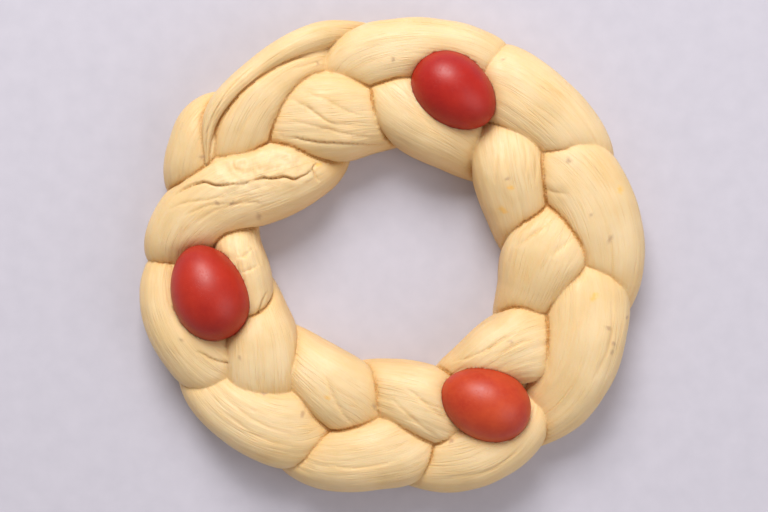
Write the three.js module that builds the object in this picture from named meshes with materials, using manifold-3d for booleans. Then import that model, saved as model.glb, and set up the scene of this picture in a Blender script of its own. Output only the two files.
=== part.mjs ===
// A ring of risen bread dough, plaited from three ropes, with dyed eggs pressed into the plait.
// Millimetres, +Z up. The origin is on the surface that the ring lies on, under the centre of its outline.
import * as THREE from "three";
import { mergeVertices } from "three/addons/utils/BufferGeometryUtils.js";
import Module from "manifold-3d";

const wasm = await Module();
wasm.setup();

// Driving dimensions.
const ringRadius = 100; // to the middle of the plait
const plaitWidth = 72; // from the ring's inner rim to its outer rim
const doughHeight = 40; // top of a rope where it crosses over the others
const ropeWidth = 35; // of a rope where it is neither full nor thin
const ropeSag = 2; // how much of a rope's round underside the surface flattens
const ropeThickness = doughHeight + ropeSag;
const crossingWidth = 43; // of the band under the crossings, where the ropes have run together
const crossingHeight = 24; // top of that band
const eggLength = 53;
const eggWidth = 41;
const eggTaper = 0.1; // how much fuller the blunt half of an egg is
const eggSeat = 13; // dough left under an egg
const socketGap = 0.3; // between an egg and the dough round it

// How square a rope's section and ends are. 2 is an ellipse.
const topPower = 2.4;
const underPower = 4; // the soft dough sags square where it lies
const endPower = 4;

// The facets of each shape.
const facets = {
  ropeRound: 16,
  ropeLong: 12,
  crossingRound: 10,
  crossingLong: 60,
  eggRound: 24,
  eggLong: 14,
};

// A rope is seen in turns. A turn comes out from under the turn before it, bellies out over the ring's
// middle line to one rim, and dives under the turn after the next. A turn's stations run from where it
// starts, through where it is fullest, to where it ends under its neighbour. A station gives its bearing
// round the ring in degrees, its place across the plait from -1 at the inner rim to 1 at the outer one, and
// how full the rope is there, as a share of its width. The turns run clockwise round the ring.
const turns = {
  seam: [
    [194, 0.7, 1.0], [178, 0.63, 1.15], [163, 0.04, 1.35],
    [150, -0.56, 1.3], [134, -0.92, 1.1], [112, -0.95, 0.8],
  ],
  outer1: [[171, 0.45, 0.8], [158, 0.63, 0.95], [146, 0.7, 1.0], [134, 0.6, 0.8]],
  outer2a: [
    [168, 0.05, 0.5], [156, 0.38, 0.26], [144, 0.68, 0.42],
    [126, 0.69, 0.54], [108, 0.73, 0.58], [88, 0.66, 0.5],
  ],
  outer2b: [[163, 0.05, 1.1], [150, 0.16, 1.2], [133, 0.36, 1.15], [116, 0.43, 0.95], [93, 0.38, 0.8]],
  inner3: [[139, 0.6, 1.0], [131, -0.02, 1.45], [116, -0.44, 1.52], [99, -0.6, 1.35], [74, -0.66, 1.0]],
  outer4: [[118, -0.4, 1.0], [104, 0.12, 1.2], [84, 0.33, 1.15], [64, 0.44, 1.12], [40, 0.42, 0.95]],
  inner5: [[96, 0.42, 0.9], [93, -0.18, 1.2], [82, -0.58, 1.25], [59, -0.74, 1.15], [32, -0.6, 0.9]],
  outer6: [[76, -0.12, 1.0], [62, 0.26, 1.35], [45, 0.37, 1.35], [28, 0.5, 1.2], [5, 0.55, 1.0]],
  inner7: [[57, 0.3, 1.0], [45, -0.26, 1.35], [34, -0.56, 1.25], [17, -0.7, 1.1], [353, -0.6, 0.9]],
  outer8: [[46, -0.3, 1.1], [32, 0.1, 1.4], [16, 0.39, 1.4], [356, 0.6, 1.25], [330, 0.7, 1.05]],
  inner9: [[18, 0.5, 1.0], [8, -0.08, 1.4], [357, -0.4, 1.4], [342, -0.5, 1.15], [318, -0.38, 0.9]],
  outer10: [[6, -0.25, 1.05], [352, 0.24, 1.4], [336, 0.48, 1.4], [319, 0.68, 1.25], [293, 0.72, 1.0]],
  inner11: [[338, 0.5, 1.0], [329, -0.08, 1.45], [318, -0.4, 1.2], [301, -0.48, 0.95], [283, -0.4, 0.8]],
  outer12: [[319, 0.12, 0.9], [309, 0.48, 1.1], [297, 0.62, 1.15], [284, 0.6, 1.15], [262, 0.5, 0.95]],
  inner13: [[300, 0.58, 0.9], [291, 0.04, 1.25], [281, -0.34, 1.25], [267, -0.54, 1.1], [243, -0.42, 0.9]],
  outer14: [[290, -0.25, 0.9], [277, 0.2, 1.3], [264, 0.42, 1.2], [249, 0.66, 1.05], [228, 0.7, 0.85]],
  inner15: [[272, 0.26, 0.9], [260, -0.22, 1.25], [247, -0.42, 1.25], [232, -0.5, 1.05], [210, -0.38, 0.9]],
  outer16: [[255, -0.28, 0.9], [246, 0.26, 1.4], [234, 0.55, 1.3], [218, 0.76, 1.1], [196, 0.74, 0.9]],
  inner17: [[239, 0.88, 1.0], [228, 0.3, 1.35], [216, -0.2, 1.3], [204, -0.4, 1.05], [184, -0.4, 0.85]],
  outer18: [[226, 0.15, 0.9], [216, 0.48, 1.2], [203, 0.7, 1.15], [190, 0.78, 1.05], [172, 0.66, 0.8]],
  inner19: [[216, 0.25, 0.9], [205, -0.2, 1.05], [192, -0.38, 0.92], [177, -0.3, 0.8], [160, -0.2, 0.75]],
};

// How high a turn's top is from its start to its end, as a share of the dough's height.
const rise = [0.5, 0.87, 1, 0.88, 0.45];

// Where each egg lies: its bearing and place across the plait, and the bearing that its blunt end points to.
// No two eggs are quite the same size.
const eggs = [
  { name: "egg_1", bearing: 69, across: -0.15, points: 143, size: 0.965, colour: 0xa3200f },
  { name: "egg_2", bearing: 193, across: 0.14, points: 291, size: 1.03, colour: 0xb03024 },
  { name: "egg_3", bearing: 301, across: -0.01, points: 339, size: 0.975, colour: 0xc04a2c },
];

const up = new THREE.Vector3(0, 0, 1);

function placeOnRing(bearing, across, height) {
  const angle = THREE.MathUtils.degToRad(bearing);
  const radius = ringRadius + (across * plaitWidth) / 2;
  return new THREE.Vector3(radius * Math.cos(angle), radius * Math.sin(angle), height);
}

// A closed mesh as a solid that can be joined and cut.
function solid(geometry) {
  const shell = geometry.clone().deleteAttribute("normal").deleteAttribute("uv");
  const merged = mergeVertices(shell, 1e-3);
  return new wasm.Manifold(
    new wasm.Mesh({
      numProp: 3,
      vertProperties: merged.attributes.position.array,
      triVerts: new Uint32Array(merged.index.array),
    }),
  );
}

function geometryOf(manifold) {
  const mesh = manifold.getMesh();
  const geometry = new THREE.BufferGeometry();
  geometry.setAttribute("position", new THREE.BufferAttribute(mesh.vertProperties, 3));
  geometry.setIndex(new THREE.BufferAttribute(mesh.triVerts, 1));
  geometry.computeVertexNormals();
  return geometry;
}

// One turn of a rope: a sphere drawn out along a curve through the turn's stations.
function ropeTurn(stations) {
  const riseAt = (i) => rise[Math.round((i / (stations.length - 1)) * (rise.length - 1))];
  const middle = stations.map(([bearing, across], i) =>
    placeOnRing(bearing, across, riseAt(i) * doughHeight - ropeThickness / 2),
  );
  const spine = new THREE.CatmullRomCurve3(middle);
  const shares = stations.map((station, i) => new THREE.Vector3(i, station[2], 0));
  const fullness = new THREE.CatmullRomCurve3(shares);
  const geometry = new THREE.SphereGeometry(1, facets.ropeRound, facets.ropeLong);
  const position = geometry.attributes.position;
  const point = new THREE.Vector3();
  for (let i = 0; i < position.count; i++) {
    point.fromBufferAttribute(position, i);
    const along = 1 - Math.acos(THREE.MathUtils.clamp(point.y, -1, 1)) / Math.PI;
    const side = spine.getTangent(along).cross(up).normalize();
    const blunt = Math.sqrt(1 - Math.abs(2 * along - 1) ** endPower);
    const round = Math.atan2(point.z, point.x);
    const power = point.z > 0 ? topPower : underPower;
    const corner = Math.abs(Math.cos(round)) ** power + Math.abs(Math.sin(round)) ** power;
    const reach = blunt / corner ** (1 / power);
    const halfWidth = (fullness.getPoint(along).y * ropeWidth) / 2;
    const made = spine.getPoint(along);
    made.addScaledVector(side, halfWidth * reach * Math.cos(round));
    made.addScaledVector(up, (ropeThickness / 2) * reach * Math.sin(round));
    position.setXYZ(i, made.x, made.y, made.z);
  }
  return solid(geometry);
}

// An egg on its own long axis, +Y at the blunt end, grown by a clearance on every side.
function eggGeometry({ size }, clearance = 0) {
  const halfLength = (size * eggLength) / 2 + clearance;
  const profile = [];
  for (let i = 0; i <= facets.eggLong; i++) {
    const turn = (Math.PI * i) / facets.eggLong;
    const halfWidth = ((size * eggWidth) / 2) * (1 - eggTaper * Math.cos(turn)) + clearance;
    const radius = i % facets.eggLong ? halfWidth * Math.sin(turn) : 0;
    profile.push(new THREE.Vector2(radius, -halfLength * Math.cos(turn)));
  }
  return new THREE.LatheGeometry(profile, facets.eggRound);
}

function placeEgg(mesh, { bearing, across, points, size }) {
  mesh.position.copy(placeOnRing(bearing, across, eggSeat + (size * eggWidth) / 2));
  mesh.rotation.z = THREE.MathUtils.degToRad(points - 90);
  mesh.updateMatrix();
  return mesh;
}

function eggSolid(egg) {
  const grown = placeEgg(new THREE.Mesh(eggGeometry(egg, socketGap)), egg);
  return solid(grown.geometry.applyMatrix4(grown.matrix));
}

// The dough under the crossings, half sunk below the surface until the plait is cut flat.
function crossings() {
  const geometry = new THREE.TorusGeometry(ringRadius, 1, facets.crossingRound, facets.crossingLong);
  const position = geometry.attributes.position;
  for (let i = 0; i < position.count; i++) {
    const round = Math.hypot(position.getX(i), position.getY(i));
    const radius = ringRadius + ((round - ringRadius) * crossingWidth) / 2;
    const spread = radius / round;
    position.setXYZ(
      i,
      position.getX(i) * spread,
      position.getY(i) * spread,
      position.getZ(i) * crossingHeight,
    );
  }
  return solid(geometry);
}

// The ropes have risen into one another, so the plait is one solid. It is flat where it lies on the surface.
function dough() {
  const plait = Object.values(turns).map(ropeTurn).reduce((all, turn) => all.add(turn), crossings());
  const reach = 2 * (ringRadius + plaitWidth);
  const above = new THREE.BoxGeometry(reach, reach, 2 * doughHeight).translate(0, 0, doughHeight);
  const sockets = eggs.map(eggSolid).reduce((all, egg) => all.add(egg));
  return plait.intersect(solid(above)).subtract(sockets);
}

const doughMaterial = new THREE.MeshStandardMaterial({ color: 0xf3dca6, roughness: 0.55, metalness: 0 });

const loaf = new THREE.Group();
const ring = new THREE.Mesh(geometryOf(dough()), doughMaterial);
ring.name = "dough_ring";
loaf.add(ring);
for (const egg of eggs) {
  const dye = new THREE.MeshStandardMaterial({ color: egg.colour, roughness: 0.35, metalness: 0 });
  const mesh = placeEgg(new THREE.Mesh(eggGeometry(egg), dye), egg);
  mesh.name = egg.name;
  loaf.add(mesh);
}

// The origin goes under the centre of the outline.
const outline = new THREE.Box3().setFromObject(loaf);
const centre = outline.getCenter(new THREE.Vector3());
loaf.position.set(-centre.x, -centre.y, -outline.min.z);

export default loaf;
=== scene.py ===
import math

import bmesh
import bpy
import numpy as np
from mathutils import Matrix, Vector, kdtree, noise


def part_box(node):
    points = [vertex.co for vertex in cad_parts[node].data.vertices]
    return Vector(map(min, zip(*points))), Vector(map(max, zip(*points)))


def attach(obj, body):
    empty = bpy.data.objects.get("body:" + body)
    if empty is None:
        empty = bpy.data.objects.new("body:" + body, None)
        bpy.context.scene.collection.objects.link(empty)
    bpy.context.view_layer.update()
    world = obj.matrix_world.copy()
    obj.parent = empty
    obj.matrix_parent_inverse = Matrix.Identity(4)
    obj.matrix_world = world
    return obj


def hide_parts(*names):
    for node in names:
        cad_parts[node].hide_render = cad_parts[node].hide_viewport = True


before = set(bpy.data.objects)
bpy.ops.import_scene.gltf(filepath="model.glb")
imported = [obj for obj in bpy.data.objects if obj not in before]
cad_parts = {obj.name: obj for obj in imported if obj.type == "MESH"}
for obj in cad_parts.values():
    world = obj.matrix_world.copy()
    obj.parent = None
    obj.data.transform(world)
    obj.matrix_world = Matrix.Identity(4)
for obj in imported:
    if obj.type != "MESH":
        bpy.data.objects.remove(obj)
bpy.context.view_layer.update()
mm = 0.001

# how the ring is laid out, the same as the model it stands for
ring = {
    "radius": 100 * mm,         # to the middle of the plait
    "plaitWidth": 72 * mm,
    "height": 40 * mm,
    "ropeWidth": 35 * mm,       # where the rope is neither full nor thin
    "ropeThickness": 42 * mm,
    "bandWidth": 43 * mm,       # dough run together under the crossings
    "bandHeight": 24 * mm,
    "bandAlong": 240,           # its faces round the ring, and round itself
    "bandAround": 24,
}

# the turns run clockwise, each out from under the one before and down under the one after the next
# a station is its bearing in degrees, its place across the plait from -1 to 1, and how full the rope is
turns = {
    "seam": [
        (194, 0.7, 1.0), (178, 0.63, 1.15), (163, 0.04, 1.35),
        (150, -0.56, 1.3), (134, -0.92, 1.1), (112, -0.95, 0.8),
    ],
    "outer1": [(171, 0.45, 0.8), (158, 0.63, 0.95), (146, 0.7, 1.0), (134, 0.6, 0.8)],
    "outer2a": [
        (168, 0.05, 0.5), (156, 0.38, 0.26), (144, 0.68, 0.42),
        (126, 0.69, 0.54), (108, 0.73, 0.58), (88, 0.66, 0.5),
    ],
    "outer2b": [(163, 0.05, 1.1), (150, 0.16, 1.2), (133, 0.36, 1.15), (116, 0.43, 0.95), (93, 0.38, 0.8)],
    "inner3": [(139, 0.6, 1.0), (131, -0.02, 1.45), (116, -0.44, 1.52), (99, -0.6, 1.35), (74, -0.66, 1.0)],
    "outer4": [(118, -0.4, 1.0), (104, 0.12, 1.2), (84, 0.33, 1.15), (64, 0.44, 1.12), (40, 0.42, 0.95)],
    "inner5": [(96, 0.42, 0.9), (93, -0.18, 1.2), (82, -0.58, 1.25), (59, -0.74, 1.15), (32, -0.6, 0.9)],
    "outer6": [(76, -0.12, 1.0), (62, 0.26, 1.35), (45, 0.37, 1.35), (28, 0.5, 1.2), (5, 0.55, 1.0)],
    "inner7": [(57, 0.3, 1.0), (45, -0.26, 1.35), (34, -0.56, 1.25), (17, -0.7, 1.1), (353, -0.6, 0.9)],
    "outer8": [(46, -0.3, 1.1), (32, 0.1, 1.4), (16, 0.39, 1.4), (356, 0.6, 1.25), (330, 0.7, 1.05)],
    "inner9": [(18, 0.5, 1.0), (8, -0.08, 1.4), (357, -0.4, 1.4), (342, -0.5, 1.15), (318, -0.38, 0.9)],
    "outer10": [(6, -0.25, 1.05), (352, 0.24, 1.4), (336, 0.48, 1.4), (319, 0.68, 1.25), (293, 0.72, 1.0)],
    "inner11": [
        (338, 0.5, 1.0), (329, -0.08, 1.45), (318, -0.4, 1.2),
        (301, -0.48, 0.95), (283, -0.4, 0.8),
    ],
    "outer12": [(319, 0.12, 0.9), (309, 0.48, 1.1), (297, 0.62, 1.15), (284, 0.6, 1.15), (262, 0.5, 0.95)],
    "inner13": [
        (300, 0.58, 0.9), (291, 0.04, 1.25), (281, -0.34, 1.25),
        (267, -0.54, 1.1), (243, -0.42, 0.9),
    ],
    "outer14": [(290, -0.25, 0.9), (277, 0.2, 1.3), (264, 0.42, 1.2), (249, 0.66, 1.05), (228, 0.7, 0.85)],
    "inner15": [
        (272, 0.26, 0.9), (260, -0.22, 1.25), (247, -0.42, 1.25),
        (232, -0.5, 1.05), (210, -0.38, 0.9),
    ],
    "outer16": [(255, -0.28, 0.9), (246, 0.26, 1.4), (234, 0.55, 1.3), (218, 0.76, 1.1), (196, 0.74, 0.9)],
    "inner17": [(239, 0.88, 1.0), (228, 0.3, 1.35), (216, -0.2, 1.3), (204, -0.4, 1.05), (184, -0.4, 0.85)],
    "outer18": [(226, 0.15, 0.9), (216, 0.48, 1.2), (203, 0.7, 1.15), (190, 0.78, 1.05), (172, 0.66, 0.8)],
    "inner19": [
        (216, 0.25, 0.9), (205, -0.2, 1.05), (192, -0.38, 0.92),
        (177, -0.3, 0.8), (160, -0.2, 0.75),
    ],
}

egg = {
    "length": 53 * mm,
    "width": 41 * mm,
    "taper": 0.1,
    "gap": 0.08 * mm,           # to the dough round it
    "around": 72,               # its faces
    "along": 48,
}
eggs = {                        # bearing, across, where the blunt end points, size
    "egg_1": (69, -0.15, 143, 0.965),
    "egg_2": (193, 0.14, 291, 1.03),
    "egg_3": (301, -0.01, 339, 0.975),
}

rope = {
    "grain": 1.08 * mm,         # size of one face
    "skin": 17 * mm,            # a rope's radius, as its own measures are laid out
    "topPower": 2.4,            # 2 is an ellipse
    "underPower": 4.0,          # sags square on the tray
    "endPower": 4.0,            # how blunt its ends are
    "rise": [0.5, 0.87, 1.0, 0.88, 0.45],       # its top from end to end, as shares of the ring's height
    "samples": 200,             # points that its length is measured from
    "evenness": 0.75,           # the rest of the rows crowd together at its ends
    "lump": 0.55 * mm,          # hand rolled unevenness
    "lumpScale": 55,
    "pull": 0.34 * mm,          # depth of the stretch marks
    "usualPull": 0.75,
    "broad": (2.6, 11, 5.3),    # how fine the marks are round it and along it, and their shift at each turn
    "narrow": (6.5, 17, 9.1),
    "ridge": 1.1,
    "groove": 0.9,
    "grooveWidth": 0.13,
}
# how hard each turn was pulled when it was rolled, the rest are ordinary
pulled = {
    "seam": 1.0, "outer2b": 0.7, "inner3": 1.3, "outer4": 0.8, "inner7": 1.3, "outer8": 0.4,
    "outer10": 1.0, "inner11": 1.5, "inner13": 1.2, "inner15": 0.8, "outer16": 1.0, "inner17": 0.4,
}


def onRing(bearing, across, height=0.0):
    angle = math.radians(bearing)
    radius = ring["radius"] + across * ring["plaitWidth"] / 2
    return Vector((radius * math.cos(angle), radius * math.sin(angle), height))


def newObject(name, mesh):
    piece = bpy.data.objects.new(name, mesh)
    bpy.context.scene.collection.objects.link(piece)
    return piece


def newMesh(name, bm):
    mesh = bpy.data.meshes.new(name)
    bm.to_mesh(mesh)
    bm.free()
    return mesh


# a smooth line through points, read off at t from 0 to 1
def throughPoints(points, t):
    pts = np.array(points, float)
    pts = np.vstack([2 * pts[0] - pts[1], pts, 2 * pts[-1] - pts[-2]])
    spans = len(pts) - 3
    place = np.clip(t, 0, 1) * spans
    seg = np.minimum(place.astype(int), spans - 1)
    w = (place - seg)[:, None]
    p0, p1, p2, p3 = (pts[seg + k] for k in range(4))
    d0, d1, d2 = (np.maximum(np.linalg.norm(b - a, axis=1)[:, None], 1e-9) ** 0.5
                  for a, b in ((p0, p1), (p1, p2), (p2, p3)))
    m1 = ((p1 - p0) / d0 - (p2 - p0) / (d0 + d1) + (p2 - p1) / d1) * d1
    m2 = ((p2 - p1) / d1 - (p3 - p1) / (d1 + d2) + (p3 - p2) / d2) * d1
    bend = (3 * (p2 - p1) - 2 * m1 - m2) * w ** 2
    return p1 + m1 * w + bend + (2 * (p1 - p2) + m1 + m2) * w ** 3


# noise with its own fineness round the rope and along it, and new for each turn
def ropeNoise(fineness, c, s, v, index):
    around, along, shift = fineness
    return noise.noise(Vector((c * around, s * around, v * along + index * shift)))


# stretch marks run with the rope, lumps don't
def ropeRelief(name, index, skin, around, run):
    pull = rope["pull"] * pulled.get(name, rope["usualPull"])
    relief = np.zeros(skin.shape[:2])
    for i, v in enumerate(run):
        for j, a in enumerate(around):
            c, s = math.cos(a), math.sin(a)
            broad = ropeNoise(rope["broad"], c, s, v, index)
            narrow = ropeNoise(rope["narrow"], c, s, v, index)
            groove = math.exp(-(narrow / rope["grooveWidth"]) ** 2)
            lump = noise.noise(Vector(skin[i, j]) * rope["lumpScale"])
            relief[i, j] = pull * (rope["ridge"] * broad - rope["groove"] * groove) + rope["lump"] * lump
    return relief


# one turn of rope as a closed skin, with its own measures round and along the rope kept for the material
def ropeTurn(name, index, stations):
    count = len(stations)
    last = len(rope["rise"]) - 1
    rise = [rope["rise"][round(i / (count - 1) * last)] for i in range(count)]
    middle = [onRing(bearing, across, share * ring["height"] - ring["ropeThickness"] / 2)
              for (bearing, across, full), share in zip(stations, rise)]
    track = throughPoints(middle, np.linspace(0, 1, rope["samples"]))
    length = np.linalg.norm(np.diff(track, axis=0), axis=1).sum()
    rows = int(length / rope["grain"])
    cols = int(2 * math.pi * rope["skin"] / rope["grain"])
    even = np.linspace(0, 1, rows + 1)
    crowded = (1 - np.cos(math.pi * even)) / 2
    along = (rope["evenness"] * even + (1 - rope["evenness"]) * crowded)[1:-1]
    spine = throughPoints(middle, along)
    nudge = 1e-3
    ahead = throughPoints(middle, along + nudge) - throughPoints(middle, along - nudge)
    side = np.cross(ahead, (0, 0, 1))
    side /= np.linalg.norm(side, axis=1)[:, None]
    full = throughPoints([(i, s[2], 0) for i, s in enumerate(stations)], along)[:, 1]
    blunt = np.sqrt(1 - np.abs(2 * along - 1) ** rope["endPower"])
    around = np.linspace(0, 2 * math.pi, cols, endpoint=False)
    c, s = np.cos(around), np.sin(around)
    power = np.where(s > 0, rope["topPower"], rope["underPower"])
    reach = (np.abs(c) ** power + np.abs(s) ** power) ** (-1 / power)
    halfWidth = full * ring["ropeWidth"] / 2 * blunt
    skin = spine[:, None, :] + side[:, None, :] * (halfWidth[:, None] * (reach * c)[None, :])[..., None]
    skin[..., 2] += (ring["ropeThickness"] / 2 * blunt)[:, None] * (reach * s)[None, :]
    outward = skin - spine[:, None, :]
    outward /= np.linalg.norm(outward, axis=2)[..., None]
    run = along * length
    skin += outward * ropeRelief(name, index, skin, around, run)[..., None]
    ends = [2 * spine[0] - spine[1], 2 * spine[-1] - spine[-2]]
    n = len(along)
    head, tail = n * cols, n * cols + 1
    faces, spots = [], []
    for i in range(n - 1):
        for j in range(cols):
            k = (j + 1) % cols
            faces.append((i * cols + j, (i + 1) * cols + j, (i + 1) * cols + k, i * cols + k))
            spots += [(j, run[i]), (j, run[i + 1]), (j + 1, run[i + 1]), (j + 1, run[i])]
    for j in range(cols):
        k = (j + 1) % cols
        faces += [(head, j, k), (tail, head - cols + k, head - cols + j)]
        spots += [(j, run[0]), (j, run[0]), (j + 1, run[0]), (j, run[-1]), (j + 1, run[-1]), (j, run[-1])]
    mesh = bpy.data.meshes.new(name)
    mesh.from_pydata(np.vstack([skin.reshape(-1, 3), ends]).tolist(), [], faces)
    markTurn(mesh, index)
    step = 2 * math.pi * rope["skin"] / cols
    layer = mesh.uv_layers.new(name="rope").uv
    layer.foreach_set("vector", (np.array(spots) * (step, 1)).ravel())
    return newObject(name, mesh)


def markTurn(mesh, index):
    mark = mesh.attributes.new("turn", "INT", "FACE")
    mark.data.foreach_set("value", [index] * len(mesh.polygons))


marks = {"band": 90, "socket": 91, "under": 92}      # faces that no turn of rope made


# the dough under the crossings
def bandMesh():
    rows, cols = ring["bandAlong"], ring["bandAround"]
    bm = bmesh.new()
    rounds = []
    for i in range(rows):
        bearing = 360 * i / rows
        rounds.append([])
        for angle in np.linspace(0, 2 * math.pi, cols, endpoint=False):
            spot = onRing(bearing, 0, ring["bandHeight"] * math.sin(angle))
            out = onRing(bearing, 0).normalized() * (ring["bandWidth"] / 2 * math.cos(angle))
            rounds[-1].append(bm.verts.new(spot + out))
    for low, high in zip(rounds, rounds[1:] + rounds[:1]):
        for j in range(cols):
            k = (j + 1) % cols
            bm.faces.new([low[j], high[j], high[k], low[k]])
    mesh = newMesh("band", bm)
    markTurn(mesh, marks["band"])
    mesh.uv_layers.new(name="rope")
    return newObject("band", mesh)


def underSlab():
    bm = bmesh.new()
    bmesh.ops.create_cube(bm, size=1)
    wide, deep = 4 * ring["radius"], 2 * ring["ropeThickness"]
    bmesh.ops.transform(bm, matrix=Matrix.Diagonal((wide, wide, deep, 1)), verts=bm.verts)
    bmesh.ops.translate(bm, vec=(0, 0, -deep / 2), verts=bm.verts)
    mesh = newMesh("under", bm)
    markTurn(mesh, marks["under"])
    mesh.uv_layers.new(name="rope")
    return newObject("under", mesh)


def cut(piece, operation, tools):
    tray = bpy.data.collections.new("tools")
    for tool in tools:
        tray.objects.link(tool)
    step = piece.modifiers.new("cut", "BOOLEAN")
    step.operation = operation
    step.solver = "MANIFOLD"
    step.operand_type = "COLLECTION"
    step.collection = tray
    graph = bpy.context.evaluated_depsgraph_get()
    mesh = bpy.data.meshes.new_from_object(piece.evaluated_get(graph))
    piece.modifiers.clear()
    piece.data = mesh
    for tool in tools:
        bpy.data.objects.remove(tool)
    bpy.data.collections.remove(tray)


# a hen's egg along Y, blunt end ahead, grown by a gap when it cuts its own socket
def eggMesh(name, size, gap=0.0):
    half = size * egg["length"] / 2 + gap
    bm = bmesh.new()
    rounds = []
    for i in range(1, egg["along"]):
        t = math.pi * i / egg["along"]
        radius = (size * egg["width"] / 2 * (1 - egg["taper"] * math.cos(t)) + gap) * math.sin(t)
        ways = np.linspace(0, 2 * math.pi, egg["around"], endpoint=False)
        spots = [(radius * math.cos(a), -half * math.cos(t), radius * math.sin(a)) for a in ways]
        rounds.append([bm.verts.new(spot) for spot in spots])
    point, blunt = bm.verts.new((0, -half, 0)), bm.verts.new((0, half, 0))
    for j in range(egg["around"]):
        k = (j + 1) % egg["around"]
        for low, high in zip(rounds, rounds[1:]):
            bm.faces.new((low[j], high[j], high[k], low[k]))
        bm.faces.new((point, rounds[0][j], rounds[0][k]))
        bm.faces.new((blunt, rounds[-1][k], rounds[-1][j]))
    bmesh.ops.recalc_face_normals(bm, faces=bm.faces)
    mesh = newMesh(name, bm)
    mesh.shade_smooth()
    return mesh


def eggTurn(name):
    return Matrix.Rotation(math.radians(eggs[name][2] - 90), 4, "Z")


# each egg goes where its own box is, and the ring's centre follows from them
def placeEggs():
    shells, places = {}, {}
    for name, (bearing, across, points, size) in eggs.items():
        mesh = eggMesh(name + "_shell", size)
        mesh.transform(eggTurn(name))
        spots = np.array([v.co for v in mesh.vertices])
        low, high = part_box(name)
        places[name] = (Vector(low) + Vector(high)) / 2 - Vector((spots.min(0) + spots.max(0)) / 2)
        mesh.transform(Matrix.Translation(places[name]))
        shells[name] = newObject(mesh.name, mesh)
    offsets = [places[name] - onRing(*eggs[name][:2]) for name in eggs]
    middle = sum(offsets, Vector()) / len(eggs)
    return shells, places, Vector((middle.x, middle.y, 0))


shells, places, centre = placeEggs()
print("eggs in place, ring centre", [round(v / mm, 2) for v in centre], "mm")

crease = {
    "depth": 1.1 * mm,          # how far the line between two turns is pinched in
    "reach": 0.6 * mm,
    "hollow": 0.5 * mm,         # and how far the dough beside it follows
    "hollowReach": 2.6 * mm,
    "line": 0.36 * mm,          # how far its painted shade spreads
    "warm": 3.6 * mm,           # how far the painted warm shade beside it spreads
    "fine": 1.5 * mm,           # smaller faces this near a line, fold or grain
    "fineAbove": 4 * mm,
    "shortest": 0.55,           # edges under this share of a face are left whole
    "firm": 0.62,               # how firmly two turns are pressed together, and how that comes and goes
    "firmChange": 1.1,
    "firmScale": 42,
    "firmLeast": 0.12,
    "above": 3 * mm,            # marks begin this far off the tray
    "fadeIn": 12 * mm,          # and are full this much higher
    "firmWarm": 0.6,            # share of the painted warm shade that goes with a firm press
    "steepWarm": 0.35,          # what is left of it on a steep side
    "sharp": 75,                # degrees between faces where the shading breaks
}
lip = {
    "drop": 1.8 * mm,           # how far the dough rolls in where it meets an egg
    "reach": 2.4 * mm,
    "above": 6 * mm,            # begins this far off the tray, full at twice that
    # painted shade where the dough meets an egg, and painted warm shade round it
    "dark": 0.12,
    "warm": 0.6,
}
foldStyle = {
    "points": 160,              # along each fold, whatever its length
    "driftScale": 170,          # how its wander varies, and the shift at each fold
    "driftShift": 3.7,
    "facing": 0.15,             # only where the dough looks up at least this much
    "fadePower": 0.6,           # how soon it is full from its ends
    "shelf": 3.2 * mm,          # how far the raised side slopes away
    "dip": 0.3,                 # what the other side sinks by, as a share of the rise
    "dipReach": 1.5 * mm,
    # painted shade in each fold's groove, and painted warm shade beside it
    "dark": 0.24,
    "darkFlat": 0.7,            # painted shade of a flat fold; folds that rise on one side get more
    "warm": 0.5,
    "warmReach": 1.6 * mm,
}
knobStyle = {"broad": 170, "fine": 330, "fineShare": 0.6}
bitStyle = {
    "window": 3 * mm,           # points further than this from its middle are left out
    "facing": 0.2,
    "turn": 2.4,                # radians from the way of one to the next
    "stretch": 1.7,
    "edge": 1.3,                # it ends this many sizes from its middle
    "ragged": 0.6,              # give or take this
    "raggedScale": 900,
}

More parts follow.
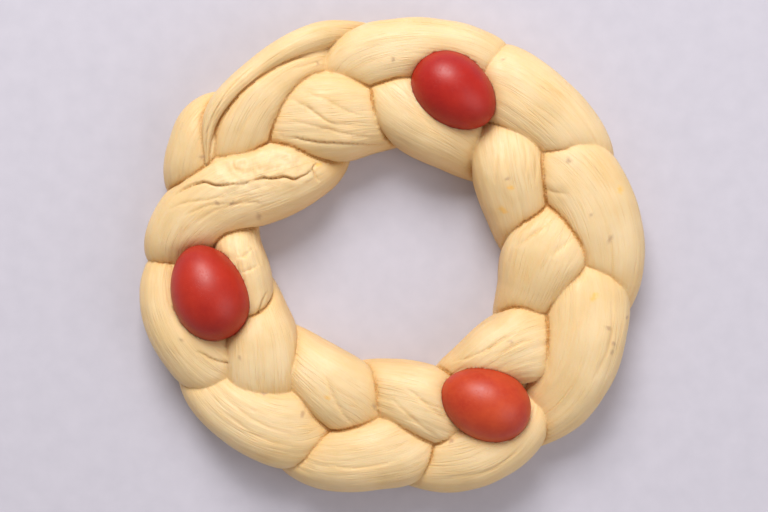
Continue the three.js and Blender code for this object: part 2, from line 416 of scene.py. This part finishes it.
# folds and wrinkles: the turn, then in mm the depth, half width, rise of one side and wander,
# then the way it goes as bearings and places across
folds = [
    ("seam", 1.1, 0.7, 1.5, 0.9, [(166, 0.73), (161, 0.4), (159, 0.0), (155, -0.33)]),
    ("seam", 1.3, 0.7, 1.7, 1.1, [(157, -0.25), (151, -0.48), (147, -0.72), (143, -0.93), (134, -1.02)]),
    ("seam", 1.3, 0.6, 0.0, 0.3, [(130, -1.0), (134, -1.0), (136, -1.11), (137, -1.22)]),
    ("seam", 0.5, 0.7, 0.0, 0.4, [(151, 0.06), (153, -0.05), (151, -0.24)]),
    ("seam", 0.5, 0.8, 0.3, 0.5, [(170, 0.75), (167, 0.5), (165, 0.2), (162, -0.08)]),
    ("seam", 0.5, 0.8, 0.2, 0.5, [(171, 0.5), (167, 0.2), (163, -0.3)]),
    ("seam", 0.5, 0.8, 0.2, 0.5, [(172, 0.3), (167, 0.0), (162, -0.4), (160, -0.65)]),
    ("outer1", 0.3, 0.8, 0.0, 0.4, [(165, 0.9), (158, 1.0), (150, 1.02)]),
    ("outer2a", 0.6, 0.7, 0.4, 0.3, [(150, 0.6), (142, 0.68), (134, 0.76), (127, 0.78)]),
    ("outer2b", 0.7, 0.7, 0.2, 0.4, [(117, 0.55), (114, 0.5), (111, 0.46)]),
    ("outer2b", 0.5, 0.8, 0.2, 0.4, [(119, 0.42), (114, 0.38), (110, 0.38)]),
    ("inner3", 1.0, 0.8, 0.9, 0.5, [(135, -0.27), (130, -0.54), (122, -0.82), (108, -1.05), (92, -1.12)]),
    ("inner3", 0.7, 0.9, 0.4, 0.6, [(124, 0.04), (120, -0.3), (116, -0.6), (109, -0.72)]),
    ("inner3", 0.5, 0.8, 0.2, 0.6, [(128, -0.25), (121, -0.57), (110, -0.88), (100, -0.99)]),
    ("inner3", 0.5, 0.8, 0.2, 0.6, [(120, 0.05), (114, -0.24), (109, -0.5), (103, -0.64)]),
    ("outer4", 0.5, 0.9, 0.3, 0.4, [(99, 0.75), (86, 0.78), (72, 0.8), (60, 0.75)]),
    ("inner5", 0.6, 0.9, 0.0, 0.4, [(88, -0.1), (81, -0.55), (70, -0.85)]),
    ("inner5", 0.4, 0.8, 0.0, 0.4, [(84, 0.0), (78, -0.45), (66, -0.8)]),
    ("outer6", 0.5, 0.9, 0.0, 0.4, [(52, 0.65), (40, 0.75), (26, 0.8)]),
    ("inner7", 0.6, 0.8, 0.0, 0.3, [(45, -0.48), (39, -0.74), (33, -0.92)]),
    ("inner7", 0.4, 0.8, 0.0, 0.3, [(44, -0.37), (39, -0.56), (34, -0.75)]),
    ("inner7", 0.4, 0.8, 0.0, 0.3, [(43, -0.26), (38, -0.39), (34, -0.5)]),
    ("inner7", 0.6, 0.8, 0.0, 0.3, [(41, -0.13), (35, -0.28), (29, -0.46)]),
    ("inner7", 0.5, 0.8, 0.0, 0.3, [(39, -0.04), (31, -0.21), (24, -0.4)]),
    ("outer8", 0.7, 2.0, 0.3, 0.4, [(24, -0.34), (20, -0.14), (18, 0.06)]),
    ("inner9", 0.8, 1.5, 0.6, 0.5, [(11, -0.28), (7, -0.57), (1, -0.9)]),
    ("inner9", 0.6, 1.5, 0.4, 0.5, [(4, 0.05), (1, -0.17), (357, -0.36)]),
    ("inner9", 0.4, 1.2, 0.2, 0.5, [(14, -0.42), (10, -0.69), (4, -0.95)]),
    ("outer10", 0.4, 0.9, 0.0, 0.4, [(347, 0.7), (336, 0.85), (325, 0.9)]),
    ("inner11", 0.7, 0.8, 0.4, 0.5, [(326, -0.5), (319, -0.62), (308, -0.72), (297, -0.8)]),
    ("inner11", 0.5, 0.8, 0.0, 0.4, [(328, -0.2), (322, -0.4), (312, -0.5)]),
    ("outer12", 0.5, 0.9, 0.0, 0.4, [(306, 0.8), (295, 0.92), (282, 0.85)]),
    ("inner13", 0.6, 0.9, 0.3, 0.4, [(289, 0.1), (283, -0.3), (275, -0.66)]),
    ("inner13", 0.5, 0.9, 0.0, 0.4, [(285, 0.3), (278, -0.1), (269, -0.5)]),
    ("outer14", 0.5, 0.9, 0.3, 0.4, [(272, 0.45), (262, 0.6), (250, 0.75)]),
    ("inner15", 0.7, 1.2, 0.4, 0.3, [(258, 0.05), (250, -0.25), (241, -0.6)]),
    ("outer16", 0.5, 0.9, 0.0, 0.4, [(243, 0.6), (235, 0.75), (222, 0.84)]),
    ("outer16", 0.5, 0.8, 0.0, 0.4, [(242, 0.45), (232, 0.58), (220, 0.68)]),
    ("inner17", 0.4, 1.2, 0.0, 0.4, [(229, 0.5), (226, 0.35), (222, 0.3)]),
    ("outer18", 1.1, 0.8, 0.7, 0.4, [(207, 0.62), (212, 0.42), (217, 0.2)]),
    ("outer18", 0.9, 0.9, 1.0, 0.8, [(178, 1.05), (181, 0.8), (185, 0.62)]),
    ("inner19", 0.6, 0.8, 0.4, 0.6, [(179, -0.62), (182, -0.5), (183, -0.36)]),
    ("inner19", 0.5, 0.8, 0.4, 0.6, [(186, -0.72), (188, -0.55), (189, -0.42)]),
    ("inner19", 0.9, 0.8, 0.8, 0.5, [(209, -0.32), (203, -0.55), (198, -0.72)]),
]
# knobbly dough: the turn, bearing, across, and in mm how far it spreads and how high its lumps stand
knobs = [
    ("seam", 153, -0.1, 15, 1.1), ("seam", 143, -0.5, 13, 1.0), ("seam", 135, -0.85, 10, 0.8),
    ("outer18", 180, 0.85, 12, 1.0), ("inner19", 182, -0.5, 12, 0.7),
]
# bits in the dough, wholemeal first and then zest: bearing, across, size in mm
grains = [
    (154, 0.5, 1.1), (165, 0.02, 1.1), (166, -0.64, 1.3), (164, -0.2, 0.8), (32, -0.72, 1.0), (27, 0.25, 1.2),
    (26, -0.18, 0.9), (3, 0.56, 1.3), (10, 0.31, 0.8), (340, 0.74, 1.2), (337, 0.91, 1.0), (335, 0.94, 0.9),
    (344, 1.0, 0.8), (322, -0.49, 1.1), (263, -0.35, 1.0), (241, 0.1, 1.2), (287, 0.3, 1.1), (228, 0.2, 1.0),
    (112, 0.35, 0.8), (90, 0.15, 1.0), (76, -0.55, 1.0), (60, 0.62, 0.7), (203, 0.75, 0.8), (215, 0.1, 0.9),
]
zest = [
    (28, -0.74, 1.3), (20, -0.97, 1.6), (15, 0.84, 1.5),
    (347, 0.39, 1.6), (131, -1.02, 1.1), (246, -0.3, 1.1),
]


# points along a fold as x and y, with its wander, and the way across it at each
def foldLine(index, wander, way):
    corners = [onRing(bearing, across) + centre for bearing, across in way]
    line = throughPoints(corners, np.linspace(0, 1, foldStyle["points"]))[:, :2]
    ahead = np.gradient(line, axis=0)
    ahead /= np.linalg.norm(ahead, axis=1)[:, None]
    across = np.stack([-ahead[:, 1], ahead[:, 0]], 1)
    scale, shift = foldStyle["driftScale"], foldStyle["driftShift"]
    drift = [noise.noise(Vector((a * scale, b * scale, index * shift))) for a, b in line]
    return line + across * (np.array(drift) * wander * mm)[:, None], across


def seamPoints(bm, mark):
    seams = []
    for e in bm.edges:
        a, b = (f[mark] for f in e.link_faces)
        if a != b and marks["under"] not in (a, b):
            seams += [e.verts[0].co.copy(), (e.verts[0].co + e.verts[1].co) / 2, e.verts[1].co.copy()]
    return seams


def treeOf(points):
    tree = kdtree.KDTree(len(points))
    for i, point in enumerate(points):
        tree.insert(point, i)
    tree.balance()
    return tree


# smaller faces along every line, fold and grain, so that they come out crisp
def refine(mesh, seamTree, flatTree):
    bm = bmesh.new()
    bm.from_mesh(mesh)
    bmesh.ops.triangulate(bm, faces=bm.faces)
    near = []
    for e in bm.edges:
        middle = (e.verts[0].co + e.verts[1].co) / 2
        if e.calc_length() < crease["shortest"] * rope["grain"] or middle.z < crease["fineAbove"]:
            continue
        flat = Vector((middle.x, middle.y, 0))
        if seamTree.find(middle)[2] < crease["fine"] or flatTree.find(flat)[2] < crease["fine"]:
            near.append(e)
    bmesh.ops.subdivide_edges(bm, edges=near, cuts=1)
    bmesh.ops.triangulate(bm, faces=[f for f in bm.faces if len(f.verts) > 4])
    bm.to_mesh(mesh)
    bm.free()


def readPoints(mesh):
    spots = np.zeros(len(mesh.vertices) * 3)
    mesh.vertices.foreach_get("co", spots)
    normals = np.zeros(len(mesh.vertices) * 3)
    mesh.vertex_normals.foreach_get("vector", normals)
    return spots.reshape(-1, 3), normals.reshape(-1, 3)


# which turn each point of the skin belongs to
def turnOf(mesh):
    index = np.zeros(len(mesh.polygons), int)
    mesh.attributes["turn"].data.foreach_get("value", index)
    sizes = np.zeros(len(mesh.polygons), int)
    mesh.polygons.foreach_get("loop_total", sizes)
    corners = np.zeros(len(mesh.loops), int)
    mesh.loops.foreach_get("vertex_index", corners)
    owner = np.zeros(len(mesh.vertices), int)
    owner[corners] = np.repeat(index, sizes)
    return owner


# pinches the creases, presses the folds in and raises the knobs, and gives each point its painted shade and
# painted warm shade
def shapeSkin(mesh, seamTree, lines):
    spots, normals = readPoints(mesh)
    owner = turnOf(mesh)
    away = np.array([seamTree.find(spot)[2] for spot in spots])
    wave = np.array([noise.noise(Vector(spot) * crease["firmScale"]) for spot in spots])
    held = (crease["firm"] + crease["firmChange"] * wave).clip(crease["firmLeast"], 1)
    lifted = ((spots[:, 2] - crease["above"]) / crease["fadeIn"]).clip(0, 1)
    pinch = crease["depth"] * held * np.exp(-(away / crease["reach"]) ** 2)
    pinch += crease["hollow"] * np.exp(-(away / crease["hollowReach"]) ** 2)
    # painted shade along each crease, deeper where the turns are pressed firmly
    dark = held * lifted * np.exp(-(away / crease["line"]) ** 2)
    # painted warm shade beside each crease: the rope below, which faces up there, gets more of it than the
    # steep side of the one on top
    flatter = crease["steepWarm"] + (1 - crease["steepWarm"]) * normals[:, 2].clip(0, 1) ** 2
    pressed = 1 - crease["firmWarm"] + crease["firmWarm"] * held
    warm = pressed * flatter * lifted * np.exp(-away / crease["warm"])
    facing = normals[:, 2] > foldStyle["facing"]
    insides = {name: np.where((owner == index) & facing)[0] for index, name in enumerate(turns)}
    push = np.zeros(len(spots))
    for (name, depth, width, over, *path), (line, across) in zip(folds, lines):
        inside = insides[name]
        gaps = spots[inside, None, :2] - line[None, :, :]
        distance = np.linalg.norm(gaps, axis=2)
        nearest = distance.argmin(1)
        d = distance[np.arange(len(inside)), nearest]
        signed = (gaps[np.arange(len(inside)), nearest] * across[nearest]).sum(1)
        fade = np.sin(math.pi * nearest / (len(line) - 1)).clip(0, 1) ** foldStyle["fadePower"]
        groove = np.exp(-(d / (width * mm)) ** 2)
        raised = np.exp(-d / foldStyle["shelf"])
        sunk = -foldStyle["dip"] * np.exp(-d / foldStyle["dipReach"])
        push[inside] += mm * fade * (over * np.where(signed > 0, raised, sunk) - depth * groove)
        # painted shade in the groove, painted warm shade beside it
        shade = foldStyle["dark"] * depth * (foldStyle["darkFlat"] + over) * fade * groove
        glow = foldStyle["warm"] * fade * np.exp(-d / foldStyle["warmReach"])
        dark[inside] = np.maximum(dark[inside], shade)
        warm[inside] = np.maximum(warm[inside], glow)
    for name, bearing, place, spread, height in knobs:
        middle = np.array(onRing(bearing, place) + centre)
        inside = insides[name]
        far = np.linalg.norm((spots[inside] - middle)[:, :2], axis=1) / (spread * mm)
        broad = np.array([noise.noise(Vector(spot) * knobStyle["broad"]) for spot in spots[inside]])
        fine = np.array([noise.noise(Vector(spot) * knobStyle["fine"]) for spot in spots[inside]])
        push[inside] += height * mm * (broad + knobStyle["fineShare"] * fine) * np.exp(-far ** 2)
    spots = spots + normals * ((push - pinch) * lifted)[:, None]
    mesh.vertices.foreach_set("co", spots.ravel())
    mesh.update()
    return dark, warm


# how far a point is outside an egg, near enough
def outsideEgg(name, spots):
    size = eggs[name][3]
    turned = (spots - np.array(places[name])) @ np.array(eggTurn(name).to_3x3())
    y = turned[:, 1] / (size * egg["length"] / 2)
    girth = size * egg["width"] / 2 * (1 + egg["taper"] * y.clip(-1, 1))
    share = np.sqrt((turned[:, 0] / girth) ** 2 + y ** 2 + (turned[:, 2] / girth) ** 2)
    return (share - 1) * girth


# rolls the dough in round each egg, and paints shade on it there
def rollLips(mesh, dark, warm):
    spots = readPoints(mesh)[0]
    for name in eggs:
        out = outsideEgg(name, spots).clip(0, None)
        above = ((spots[:, 2] - lip["above"]) / lip["above"]).clip(0, 1)
        spots[:, 2] -= lip["drop"] * above * np.exp(-out / lip["reach"])
        # painted shade at the edge of each egg, painted warm shade round it
        dark[:] = np.maximum(dark, lip["dark"] * above * np.exp(-(out / crease["line"]) ** 2))
        warm[:] = np.maximum(warm, lip["warm"] * above * np.exp(-out / crease["warm"]))
    mesh.vertices.foreach_set("co", spots.ravel())
    mesh.update()


# how far each point is inside one of the bits, each drawn out its own way
def speckle(mesh, bits):
    spots, normals = readPoints(mesh)
    amount = np.zeros(len(spots))
    for index, (bearing, across, size) in enumerate(bits):
        middle = np.array(onRing(bearing, across) + centre)[:2]
        gaps = spots[:, :2] - middle
        close = np.abs(gaps).max(1) < bitStyle["window"]
        near = np.where(close & (normals[:, 2] > bitStyle["facing"]))[0]
        way = index * bitStyle["turn"]
        longer = gaps[near] @ np.array((math.cos(way), math.sin(way))) / bitStyle["stretch"]
        thinner = gaps[near] @ np.array((-math.sin(way), math.cos(way)))
        wave = np.array([noise.noise(Vector(spot) * bitStyle["raggedScale"]) for spot in spots[near]])
        inside = bitStyle["edge"] - np.hypot(longer, thinner) / (size * mm) - bitStyle["ragged"] * wave
        amount[near] = np.maximum(amount[near], inside.clip(0, 1))
    return amount


def keep(mesh, name, values):
    mesh.attributes.new(name, "FLOAT", "POINT").data.foreach_set("value", values)


def buildDough():
    ropes = [ropeTurn(name, i, stations) for i, (name, stations) in enumerate(turns.items())]
    print("rolled", len(ropes), "turns of rope")
    dough = bandMesh()
    cut(dough, "UNION", ropes)
    dough.data.transform(Matrix.Translation(centre))
    cut(dough, "DIFFERENCE", [underSlab()])
    print("plait joined,", len(dough.data.polygons), "faces")
    mesh = dough.data
    lines = [foldLine(i, *fold[4:]) for i, fold in enumerate(folds)]
    bm = bmesh.new()
    bm.from_mesh(mesh)
    seamTree = treeOf(seamPoints(bm, bm.faces.layers.int["turn"]))
    bm.free()
    specks = [Vector((*(onRing(bearing, across) + centre)[:2], 0)) for bearing, across, size in grains + zest]
    flatTree = treeOf([Vector((*spot, 0)) for line, across in lines for spot in line] + specks)
    refine(mesh, seamTree, flatTree)
    print("refined,", len(mesh.polygons), "faces")
    dark, warm = shapeSkin(mesh, seamTree, lines)
    rollLips(mesh, dark, warm)
    keep(mesh, "paintedShade", dark)
    keep(mesh, "paintedWarmShade", warm)
    keep(mesh, "speck", speckle(mesh, grains))
    keep(mesh, "zest", speckle(mesh, zest))
    sockets = []
    for name, place in places.items():
        tool = eggMesh("socket", eggs[name][3], egg["gap"])
        tool.transform(Matrix.Translation(place) @ eggTurn(name))
        markTurn(tool, marks["socket"])
        sockets.append(newObject("socket", tool))
    cut(dough, "DIFFERENCE", sockets)
    dough.name = dough.data.name = "plaited_dough"
    dough.data.shade_smooth()
    dough.data.set_sharp_from_angle(angle=math.radians(crease["sharp"]))
    print("dough done,", len(dough.data.polygons), "faces")
    return dough


class Nodes:
    def __init__(self, name):
        self.material = bpy.data.materials.new(name)
        self.material.use_nodes = True
        self.tree = self.material.node_tree
        self.shader = self.tree.nodes["Principled BSDF"]

    def add(self, kind, inputs=None, **settings):
        node = self.tree.nodes.new("ShaderNode" + kind)
        for key, value in settings.items():
            setattr(node, key, value)
        for key, value in (inputs or {}).items():
            self.put(node.inputs[key], value)
        return node

    def put(self, socket, value):
        if isinstance(value, bpy.types.NodeSocket):
            self.tree.links.new(value, socket)
        else:
            socket.default_value = value

    def math(self, operation, a, b=0.0):
        return self.add("Math", {0: a, 1: b}, operation=operation).outputs[0]

    def ramp(self, value, low, high, toLow=0.0, toHigh=1.0):
        sockets = {"Value": value, "From Min": low, "From Max": high, "To Min": toLow, "To Max": toHigh}
        return self.add("MapRange", sockets).outputs[0]

    def mix(self, amount, a, b):
        node = self.add("Mix", data_type="RGBA")
        for socket, value in ((node.inputs[0], amount), (node.inputs[6], a), (node.inputs[7], b)):
            self.put(socket, value)
        return node.outputs[2]

    def noise(self, vector, scale, detail=2.0, rough=0.5):
        node = self.add("TexNoise", {"Vector": vector, "Scale": scale, "Detail": detail, "Roughness": rough})
        return node.outputs["Fac"]

    def stretched(self, vector, scale, shift=0.0):
        node = self.add("Mapping", {"Vector": vector, "Scale": scale, "Location": (shift, shift, shift)})
        return node.outputs[0]

    # thin lines where a stretched noise crosses its middle value
    def threads(self, vector, scale, width, shift=0.0):
        wave = self.noise(self.stretched(vector, scale, shift), 1)
        offMiddle = self.math("ABSOLUTE", self.math("SUBTRACT", wave, 0.5))
        return self.ramp(offMiddle, 0.0, width, 1.0, 0.0)

    def bump(self, height, distance, normal=None):
        node = self.add("Bump", {"Height": height, "Distance": distance, "Strength": 1.0})
        if normal:
            self.put(node.inputs["Normal"], normal)
        return node.outputs[0]


doughLook = {
    "top": (0.71, 0.52, 0.272, 1),
    "pale": (0.78, 0.605, 0.36, 1),
    # the stretch marks' own warm colour, also used for painted warm shade
    "warm": (0.76, 0.45, 0.15, 1),
    # the colour of the painted shade in creases, folds and round the eggs
    "line": (0.52, 0.24, 0.055, 1),
    "speck": (0.42, 0.25, 0.15, 1),
    "zest": (0.85, 0.46, 0.06, 1),
    "driftScale": 34,           # broad pale drifts
    "patchScale": 48,           # where the threads show
    "glossScale": 120,
    "crumbScale": 900,          # the fine grain of the crust
    "band": (260, 22, 1),       # marks drawn out along the rope, by how fine they are round it and along it
    "thread": (420, 13, 1),
    "hair": (900, 24, 1),
    "threadWidth": 0.035,
    "hairWidth": 0.05,
    "hairShift": 7.3,
    "bandWarm": 0.22,           # how warm each mark turns the dough
    "threadWarm": 0.26,
    "hairWarm": 0.12,
    "besideWarm": 0.55,         # painted warm shade beside creases and eggs
    "lowWarm": 0.5,             # painted warm shade low on the sides
    "lowUnder": 14 * mm,        # all of it under this height, and none over the next
    "lowOver": 36 * mm,
    "lineDark": 0.85,
    "speckDark": 0.62,
    "zestBright": 0.6,
    "bandRelief": 0.5 * mm,     # how far each mark stands up, or sinks in
    "driftRelief": 0.5 * mm,
    "threadRelief": -0.16 * mm,
    "hairRelief": -0.05 * mm,
    "crumbRelief": 0.06 * mm,
    "smooth": 0.42,             # the roughness runs between these
    "rough": 0.56,
    "specular": 0.4,
    "glow": 0.35,               # light that soaks in
    "glowReach": 3.5 * mm,
    "glowColour": (1.0, 0.6, 0.3),
}


def doughMaterial():
    n = Nodes("dough")
    place = n.add("TexCoord").outputs["Object"]
    rolled = n.add("UVMap", uv_map="rope").outputs[0]
    line = n.add("Attribute", attribute_name="paintedShade").outputs["Fac"]
    beside = n.add("Attribute", attribute_name="paintedWarmShade").outputs["Fac"]
    speck = n.add("Attribute", attribute_name="speck").outputs["Fac"]
    zest = n.add("Attribute", attribute_name="zest").outputs["Fac"]
    look = doughLook
    drift = n.noise(place, look["driftScale"], 3)
    band = n.noise(n.stretched(rolled, look["band"]), 1, 3, 0.55)
    patch = n.ramp(n.noise(place, look["patchScale"]), 0.38, 0.62)
    thread = n.math("MULTIPLY", n.threads(rolled, look["thread"], look["threadWidth"]), patch)
    hair = n.threads(rolled, look["hair"], look["hairWidth"], look["hairShift"])
    level = n.add("SeparateXYZ", {"Vector": place}).outputs["Z"]
    colour = n.mix(n.ramp(drift, 0.35, 0.65), look["top"], look["pale"])
    layers = [
        (n.ramp(band, 0.42, 0.75, 0.0, look["bandWarm"]), "warm"),
        (n.math("MULTIPLY", thread, look["threadWarm"]), "warm"),
        (n.math("MULTIPLY", hair, look["hairWarm"]), "warm"),
        # painted warm shade beside creases, folds and eggs
        (n.ramp(beside, 0.05, 1.0, 0.0, look["besideWarm"]), "warm"),
        # painted warm shade, stronger lower on the sides
        (n.ramp(level, look["lowOver"], look["lowUnder"], 0.0, look["lowWarm"]), "warm"),
        # painted shade in creases, folds and round the eggs
        (n.ramp(line, 0.1, 0.9, 0.0, look["lineDark"]), "line"),
        (n.ramp(speck, 0.0, 0.9, 0.0, look["speckDark"]), "speck"),
        (n.ramp(zest, 0.0, 0.9, 0.0, look["zestBright"]), "zest"),
    ]
    for amount, paint in layers:
        colour = n.mix(amount, colour, look[paint])
    gloss = n.ramp(n.noise(place, look["glossScale"], 3), 0.3, 0.7, look["smooth"], look["rough"])
    n.put(n.shader.inputs["Base Color"], colour)
    n.put(n.shader.inputs["Roughness"], gloss)
    height = n.bump(band, look["bandRelief"])
    height = n.bump(thread, look["threadRelief"], height)
    height = n.bump(hair, look["hairRelief"], height)
    height = n.bump(drift, look["driftRelief"], height)
    height = n.bump(n.noise(place, look["crumbScale"], 3), look["crumbRelief"], height)
    n.put(n.shader.inputs["Normal"], height)
    n.shader.inputs["Subsurface Weight"].default_value = look["glow"]
    n.shader.inputs["Subsurface Radius"].default_value = look["glowColour"]
    n.shader.inputs["Subsurface Scale"].default_value = look["glowReach"]
    n.shader.inputs["Specular IOR Level"].default_value = look["specular"]
    return n.material


eggLooks = {                    # deep dye, thin dye
    "egg_1": ((0.30, 0.001, 0.001, 1), (0.44, 0.012, 0.003, 1)),
    "egg_2": ((0.31, 0.006, 0.002, 1), (0.44, 0.020, 0.005, 1)),
    "egg_3": ((0.40, 0.022, 0.006, 1), (0.56, 0.066, 0.014, 1)),
}
shellLook = {
    "cloudScale": 38,           # broad changes in the dye
    "cloudRelief": 0.15 * mm,
    "mottleScale": 420,
    "mottle": 0.3,              # how much thinner the dye is in its spots
    "poreScale": 900,
    "poreDepth": 0.06 * mm,
    "smooth": 0.38,             # the roughness runs between these
    "rough": 0.47,
    "specular": 0.45,
}


def eggMaterial(name, deep, thin):
    n = Nodes("dyed_" + name)
    place = n.add("TexCoord").outputs["Object"]
    cloud = n.noise(place, shellLook["cloudScale"], 4, 0.6)
    colour = n.mix(n.ramp(cloud, 0.3, 0.7), deep, thin)
    mottle = n.noise(place, shellLook["mottleScale"], 3, 0.6)
    colour = n.mix(n.ramp(mottle, 0.4, 0.75, 0.0, shellLook["mottle"]), colour, thin)
    pores = n.add("TexVoronoi", {"Vector": place, "Scale": shellLook["poreScale"]}).outputs["Distance"]
    gloss = n.ramp(mottle, 0.3, 0.7, shellLook["smooth"], shellLook["rough"])
    height = n.bump(cloud, shellLook["cloudRelief"])
    height = n.bump(n.ramp(pores, 0.08, 0.3), shellLook["poreDepth"], height)
    n.put(n.shader.inputs["Base Color"], colour)
    n.put(n.shader.inputs["Roughness"], gloss)
    n.put(n.shader.inputs["Normal"], height)
    n.shader.inputs["Specular IOR Level"].default_value = shellLook["specular"]
    return n.material


def finishPiece(piece, node, material):
    piece.data.materials.clear()
    piece.data.materials.append(material)
    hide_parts(node)
    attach(piece, "root")


floorLook = {
    "size": 3,                  # metres from its middle to its edge
    "squares": 8,
    "grainScale": 90,
    "roughness": 0.8,
    "light": (0.55, 0.53, 0.61, 1),
    "dark": (0.48, 0.465, 0.54, 1),
}


def makeFloor():
    bm = bmesh.new()
    squares = floorLook["squares"]
    bmesh.ops.create_grid(bm, x_segments=squares, y_segments=squares, size=floorLook["size"])
    floor = newObject("floor", newMesh("floor", bm))
    n = Nodes("paleFloor")
    grain = n.noise(n.add("TexCoord").outputs["Object"], floorLook["grainScale"], 4)
    n.put(n.shader.inputs["Base Color"], n.mix(grain, floorLook["dark"], floorLook["light"]))
    n.shader.inputs["Roughness"].default_value = floorLook["roughness"]
    floor.data.materials.append(n.material)


lights = {                      # place, size, power, colour
    "window": ((-0.3, 1.65, 1.6), 1.2, 60, (1.0, 0.985, 0.96)),
    "bounce": ((1.3, -0.5, 1.3), 1.4, 10, (0.97, 0.97, 1.0)),
}
sky = {"colour": (1.0, 0.94, 0.89, 1), "strength": 0.42}
camera = {
    "lens": 70,
    "place": (-4.5 * mm, -0.3 * mm, 864 * mm),
    "near": 10 * mm,
}


def lightAndCamera():
    for name, (place, size, power, colour) in lights.items():
        lamp = bpy.data.lights.new(name, "AREA")
        lamp.size = size
        lamp.energy = power
        lamp.color = colour
        holder = newObject(name, lamp)
        holder.location = place
        holder.rotation_euler = (-Vector(place)).to_track_quat("-Z", "Y").to_euler()
    world = bpy.data.worlds.new("studio")
    bpy.context.scene.world = world
    world.use_nodes = True
    back = world.node_tree.nodes["Background"]
    back.inputs["Color"].default_value = sky["colour"]
    back.inputs["Strength"].default_value = sky["strength"]
    lens = bpy.data.cameras.new("camera")
    lens.lens = camera["lens"]
    lens.clip_start = camera["near"]
    view = newObject("camera", lens)
    view.location = camera["place"]
    bpy.context.scene.camera = view
    bpy.context.scene.view_settings.view_transform = "Standard"


dough = buildDough()
finishPiece(dough, "dough_ring", doughMaterial())
for name, slotName in zip(eggs, ("egg_deep_red", "egg_red", "egg_orange_red")):
    finishPiece(shells[name], name, eggMaterial(name, *eggLooks[name]))
makeFloor()
lightAndCamera()
print("lit and framed")
